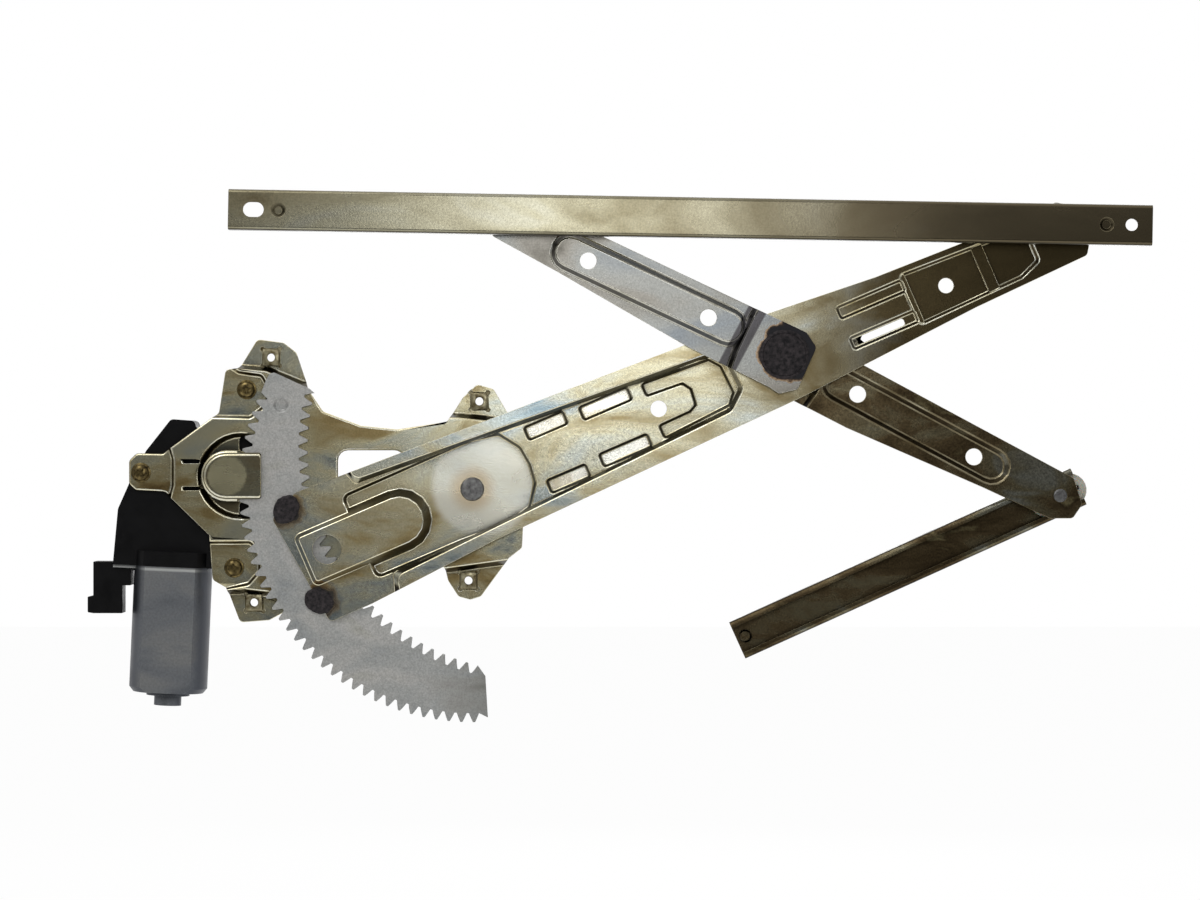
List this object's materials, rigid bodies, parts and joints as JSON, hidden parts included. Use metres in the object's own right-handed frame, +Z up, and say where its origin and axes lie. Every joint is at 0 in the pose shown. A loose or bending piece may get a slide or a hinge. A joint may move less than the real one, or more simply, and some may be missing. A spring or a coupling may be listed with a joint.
{
  "type": "window regulator",
  "caption": "Cross-arm power window regulator: a geared motor turns a toothed lift arm, whose equalizer arm and sliders keep the glass rail level.",
  "frame": {"origin": "on the main pivot's axis, at the front face of the base plate", "axes": "+X along the door towards the crossed arms, +Z up, -Y out of the plate towards the glass"},
  "size_m": [0.6365, 0.0743, 0.3178],
  "materials": {
    "zinc_plate": "yellow-tinted zinc plate, satin",
    "pale_zinc": "clear zinc plate, satin",
    "dull_zinc": "dull olive zinc plate",
    "aged_zinc": "dark, dirty zinc plate",
    "sector_steel": "matt blanked steel",
    "pin_steel": "turned steel",
    "scorched_steel": "weld scale, matt",
    "screw_zinc": "dark yellow zinc",
    "can_steel": "drawn steel, satin",
    "black_plastic": "glass-filled nylon, fine grain",
    "nylon": "natural nylon, slightly translucent",
    "bronze": "sintered bronze",
    "contact_brass": "bright",
    "copper": "copper windings and segments",
    "ferrite": "sintered ferrite, matt",
    "carbon": "carbon brush",
    "damper_rubber": "moulded rubber"
  },
  "bodies": {
    "door_side": {"base_plate": "zinc_plate", "weld_nuts": "pale_zinc", "pivot_rivet": "pin_steel", "pivot_washer": "pin_steel", "motor_screws": "screw_zinc", "gearbox_housing": "black_plastic", "gearbox_cover": "black_plastic", "output_bush": "bronze", "connector": "black_plastic", "connector_blades": "contact_brass", "motor_can": "can_steel", "can_bearing": "bronze", "magnets": "ferrite", "brush_holder": "black_plastic", "brushes": "carbon", "can_screws": "pin_steel"},
    "armature": {"armature_shaft": "pin_steel", "armature_core": "copper", "commutator": "copper"},
    "output": {"worm_wheel": "nylon", "drive_damper": "damper_rubber", "pinion": "pin_steel"},
    "lift_arm": {"main_arm": "zinc_plate", "sector_gear": "sector_steel", "sector_welds": "scorched_steel", "rail_pin_right": "pin_steel"},
    "equalizer": {"equalizer_upper": "pale_zinc", "equalizer_lower": "aged_zinc", "cross_hub": "pin_steel", "hub_cap": "scorched_steel", "hub_weld": "scorched_steel", "rail_pin_left": "pin_steel", "lower_pin": "pin_steel"},
    "slider_right": {"rail_slider_right": "nylon"},
    "slider_left": {"rail_slider_left": "nylon"},
    "slider_low": {"lower_slider": "nylon"},
    "window_rail": {"glass_rail": "dull_zinc"},
    "guide_rail": {"lower_rail": "aged_zinc"}
  },
  "joints": [
    {"name": "main_arm_pivot", "type": "hinge", "parent": "door_side", "child": "lift_arm", "pos_m": [0, 0, 0], "axis": [0, -1, 0], "range_deg": [-69, 16]},
    {"name": "pinion_spin", "type": "hinge", "parent": "door_side", "child": "output", "pos_m": [-0.14739, 0, 0.00788], "axis": [0, -1, 0], "range_deg": [-231, 993]},
    {"name": "armature_spin", "type": "hinge", "parent": "door_side", "child": "armature", "pos_m": [-0.17901, 0.018, 0.00926], "axis": [-0.0436, 0, -0.999], "range_deg": [-13810, 59520]},
    {"name": "equalizer_pivot", "type": "hinge", "parent": "lift_arm", "child": "equalizer", "pos_m": [0.18644, 0, 0.0803], "axis": [0, -1, 0], "range_deg": [-32.5, 138.5]},
    {"name": "right_slider_pivot", "type": "hinge", "parent": "lift_arm", "child": "slider_right", "pos_m": [0.35406, 0, 0.15739], "axis": [0, -1, 0], "range_deg": [-16.5, 69.5]},
    {"name": "left_slider_pivot", "type": "hinge", "parent": "equalizer", "child": "slider_left", "pos_m": [0.02162, 0, 0.1632], "axis": [0, -1, 0], "range_deg": [-69.5, 16.5]},
    {"name": "glass_rail_slide", "type": "slide", "parent": "slider_right", "child": "window_rail", "axis": [0.9998, 0, -0.0175], "range_m": [0, 0.075]},
    {"name": "lower_slider_pivot", "type": "hinge", "parent": "equalizer", "child": "slider_low", "pos_m": [0.35232, 0, -0.00386], "axis": [0, -1, 0], "range_deg": [-100, 60]},
    {"name": "lower_rail_slide", "type": "slide", "parent": "slider_low", "child": "guide_rail", "axis": [0.9114, 0, 0.4115], "range_m": [0, 0.178]}
  ],
  "couplings": [
    {"joint": "pinion_spin", "follows": "main_arm_pivot", "ratio": -14.375},
    {"joint": "armature_spin", "follows": "main_arm_pivot", "ratio": -862.5},
    {"joint": "equalizer_pivot", "follows": "main_arm_pivot", "ratio": -2},
    {"joint": "right_slider_pivot", "follows": "main_arm_pivot", "ratio": -1},
    {"joint": "left_slider_pivot", "follows": "main_arm_pivot", "ratio": 1}
  ]
}
